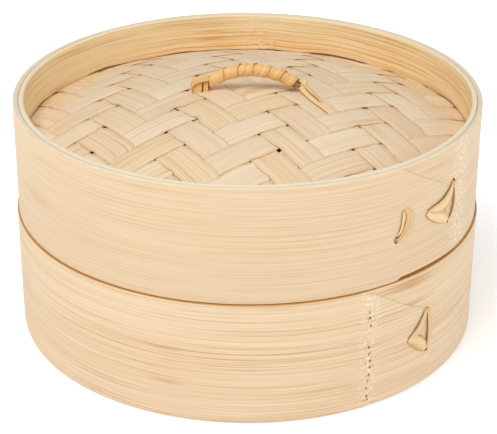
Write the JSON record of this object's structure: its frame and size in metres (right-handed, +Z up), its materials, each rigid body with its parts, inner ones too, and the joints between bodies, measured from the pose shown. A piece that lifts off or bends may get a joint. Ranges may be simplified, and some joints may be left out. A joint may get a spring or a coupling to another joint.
{
  "type": "bamboo steamer basket",
  "caption": "Round bamboo steamer: a slatted tier with a raised collar, and a lift-off lid with a domed woven sheet and a cane handle.",
  "frame": {"origin": "centre of the tier's foot, on the surface it stands on", "axes": "+Z up, -Y to the front, +X along the handle"},
  "size_m": [0.2045, 0.2044, 0.1172],
  "materials": {
    "outer_band": "satin",
    "inner_band": "satin",
    "woven_strip": "satin",
    "liner": "matte",
    "floor_bamboo": "satin",
    "cane": "matte",
    "cane_ribbon": "satin",
    "split_cane": "satin"
  },
  "bodies": {
    "tier": {"floor_rib_1": "floor_bamboo", "floor_rib_2": "floor_bamboo", "floor_rib_3": "floor_bamboo", "floor_slat_01": "floor_bamboo", "floor_slat_02": "floor_bamboo", "floor_slat_03": "floor_bamboo", "floor_slat_04": "floor_bamboo", "floor_slat_05": "floor_bamboo", "floor_slat_06": "floor_bamboo", "floor_slat_07": "floor_bamboo", "floor_slat_08": "floor_bamboo", "floor_slat_09": "floor_bamboo", "floor_slat_10": "floor_bamboo", "tier_cane_triangle": "split_cane", "tier_lower_inner_hoop": "inner_band", "tier_outer_hoop": "outer_band", "tier_upper_inner_hoop": "inner_band"},
    "lid": {"cross_strip_01": "woven_strip", "cross_strip_02": "woven_strip", "cross_strip_03": "woven_strip", "cross_strip_04": "woven_strip", "cross_strip_05": "woven_strip", "cross_strip_06": "woven_strip", "cross_strip_07": "woven_strip", "cross_strip_08": "woven_strip", "cross_strip_09": "woven_strip", "cross_strip_10": "woven_strip", "cross_strip_11": "woven_strip", "cross_strip_12": "woven_strip", "cross_strip_13": "woven_strip", "cross_strip_14": "woven_strip", "cross_strip_15": "woven_strip", "handle_tie_left": "cane_ribbon", "handle_tie_right": "cane_ribbon", "lid_batten_across": "floor_bamboo", "lid_batten_along": "floor_bamboo", "lid_cane_oval": "split_cane", "lid_cane_triangle": "split_cane", "lid_liner": "liner", "lid_lower_inner_hoop": "inner_band", "lid_outer_hoop": "outer_band", "lid_rim_hoop": "inner_band", "long_strip_01": "woven_strip", "long_strip_02": "woven_strip", "long_strip_03": "woven_strip", "long_strip_04": "woven_strip", "long_strip_05": "woven_strip", "long_strip_06": "woven_strip", "long_strip_07": "woven_strip", "long_strip_08": "woven_strip", "long_strip_09": "woven_strip", "long_strip_10": "woven_strip", "long_strip_11": "woven_strip", "long_strip_12": "woven_strip", "long_strip_13": "woven_strip", "long_strip_14": "woven_strip", "long_strip_15": "woven_strip", "long_strip_16": "woven_strip"},
    "handle": {"handle_core": "cane", "handle_wrap": "cane_ribbon"}
  },
  "joints": [
    {"name": "lid_lift", "type": "slide", "parent": "tier", "child": "lid", "axis": [0, 0, 1], "range_m": [0, 0.12]},
    {"name": "handle_tilt", "type": "hinge", "parent": "lid", "child": "handle", "pos_m": [0.0015, 0, 0.10745], "axis": [1, 0, 0], "range_deg": [-40, 40]}
  ]
}
